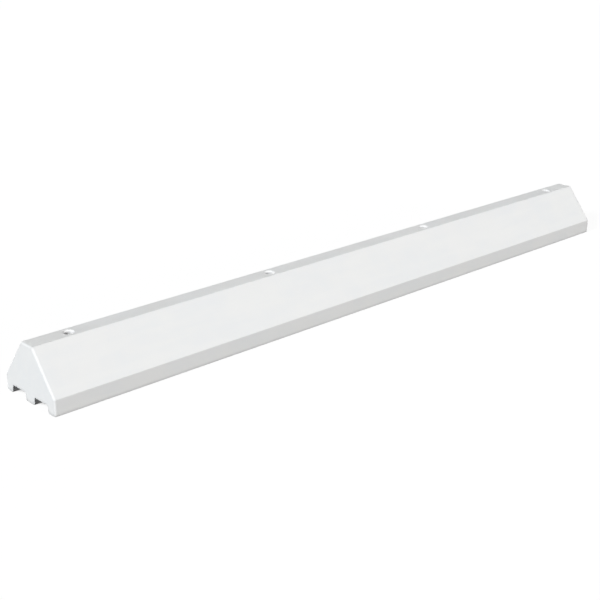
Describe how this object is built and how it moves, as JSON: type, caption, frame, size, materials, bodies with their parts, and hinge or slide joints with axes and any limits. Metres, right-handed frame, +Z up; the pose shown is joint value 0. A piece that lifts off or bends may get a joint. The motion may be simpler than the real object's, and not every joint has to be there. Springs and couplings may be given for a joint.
{
  "type": "parking wheel stop",
  "caption": "Long white plastic parking wheel stop with a flat top, sloped sides, channelled underside and steel anchor pins sliding in countersunk holes.",
  "frame": {"origin": "on the ground under the middle of the stop, at the centre of its footprint", "axes": "+X along the stop, +Y across it, +Z up from the ground; the part is the same from both ends and both sides"},
  "size_m": [1.8288, 0.183, 0.127],
  "materials": {
    "moulded_plastic": "satin moulded white, faintly mottled",
    "bar_steel": "dark hot-rolled mill scale with light rust, head burnished by hammering"
  },
  "bodies": {
    "stop": {"stop_block": "moulded_plastic"},
    "pin_1": {"anchor_pin_1": "bar_steel"},
    "pin_2": {"anchor_pin_2": "bar_steel"},
    "pin_3": {"anchor_pin_3": "bar_steel"},
    "pin_4": {"anchor_pin_4": "bar_steel"}
  },
  "joints": [
    {"name": "pin_1_slide", "type": "slide", "parent": "stop", "child": "pin_1", "axis": [0, 0, 1], "range_m": [0, 0.11]},
    {"name": "pin_2_slide", "type": "slide", "parent": "stop", "child": "pin_2", "axis": [0, 0, 1], "range_m": [0, 0.11]},
    {"name": "pin_3_slide", "type": "slide", "parent": "stop", "child": "pin_3", "axis": [0, 0, 1], "range_m": [0, 0.11]},
    {"name": "pin_4_slide", "type": "slide", "parent": "stop", "child": "pin_4", "axis": [0, 0, 1], "range_m": [0, 0.11]}
  ]
}
